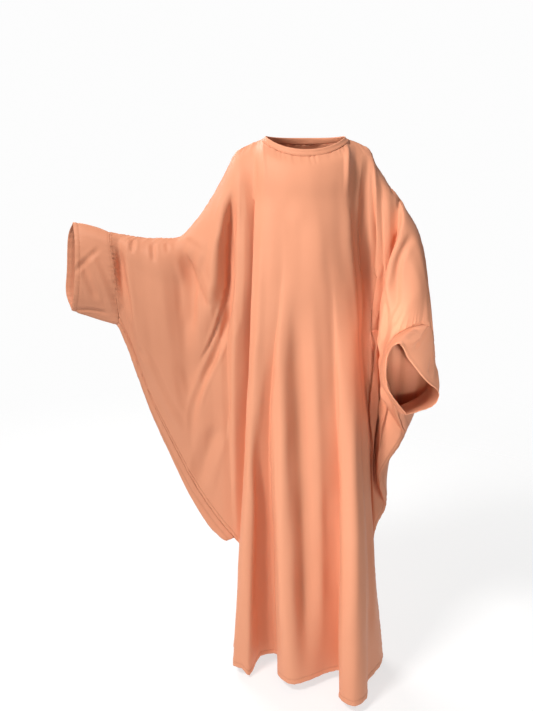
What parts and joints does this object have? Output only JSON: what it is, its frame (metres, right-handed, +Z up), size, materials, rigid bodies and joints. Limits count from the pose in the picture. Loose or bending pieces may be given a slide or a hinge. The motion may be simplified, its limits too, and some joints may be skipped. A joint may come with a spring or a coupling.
{
  "type": "butterfly abaya",
  "caption": "Butterfly abaya as worn: a full-length robe whose wide wings fall from the arms into narrow cuffs, one arm held out and one bent.",
  "frame": {"origin": "midway between the shoulders, at the level where the cloth rests on them", "axes": "+Z up, +X towards the right of someone who faces the front, -Y out of the front"},
  "size_m": [0.9541, 0.3771, 1.4839],
  "materials": {
    "body_cloth": "peach terracotta satin-backed crepe, soft sheen",
    "cuff_cloth": "the same satin-backed crepe",
    "neck_band_cloth": "the same crepe, doubled and stitched down"
  },
  "bodies": {
    "root": {"front": "body_cloth", "back": "body_cloth", "cuff_right": "cuff_cloth", "cuff_left": "cuff_cloth", "neck_band": "neck_band_cloth"}
  },
  "joints": []
}
